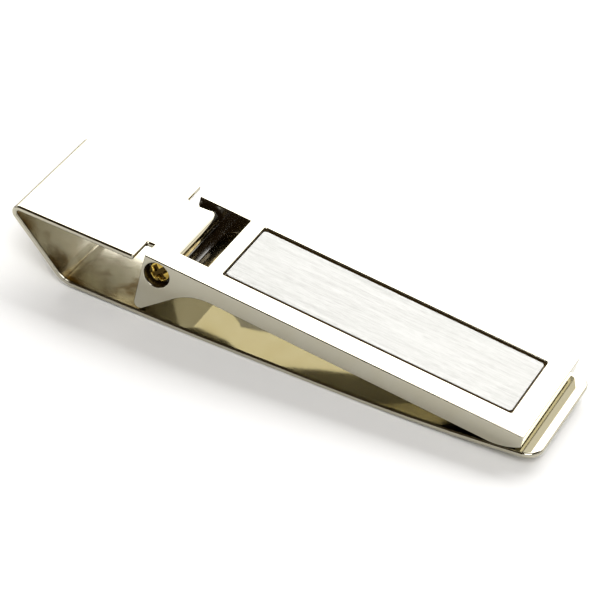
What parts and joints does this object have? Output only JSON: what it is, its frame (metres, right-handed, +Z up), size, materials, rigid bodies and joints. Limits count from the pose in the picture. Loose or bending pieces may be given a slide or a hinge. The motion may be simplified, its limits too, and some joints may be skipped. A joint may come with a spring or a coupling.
{
  "type": "hinged money clip",
  "caption": "Folded metal strip with a hinged cam lever that pinches folded banknotes against it, and a brushed inlay plate in the lever's top face.",
  "frame": {"origin": "centre of the clip's footprint, on the surface that its base lies on", "axes": "+X from the fold towards the lever's tip, +Y across the clip, +Z up, out of the lever's top face"},
  "size_m": [0.0662, 0.017, 0.0086],
  "materials": {
    "polished_strip": "mirror-polished nickel plate",
    "polished_lever": "mirror-polished nickel plate",
    "brushed_inlay": "satin, brushed along its length",
    "adhesive_film": "dark brown cured adhesive",
    "screw_brass": "bright brass"
  },
  "bodies": {
    "clip": {"folded_strip": "polished_strip", "hinge_screw_near": "screw_brass", "hinge_screw_far": "screw_brass"},
    "lever": {"lever_body": "polished_lever", "inlay_plate": "brushed_inlay", "inlay_adhesive": "adhesive_film"}
  },
  "joints": [
    {"name": "lever_hinge", "type": "hinge", "parent": "clip", "child": "lever", "pos_m": [-0.01437, 0, 0.00648], "axis": [0, -1, 0], "range_deg": [0, 125]}
  ]
}
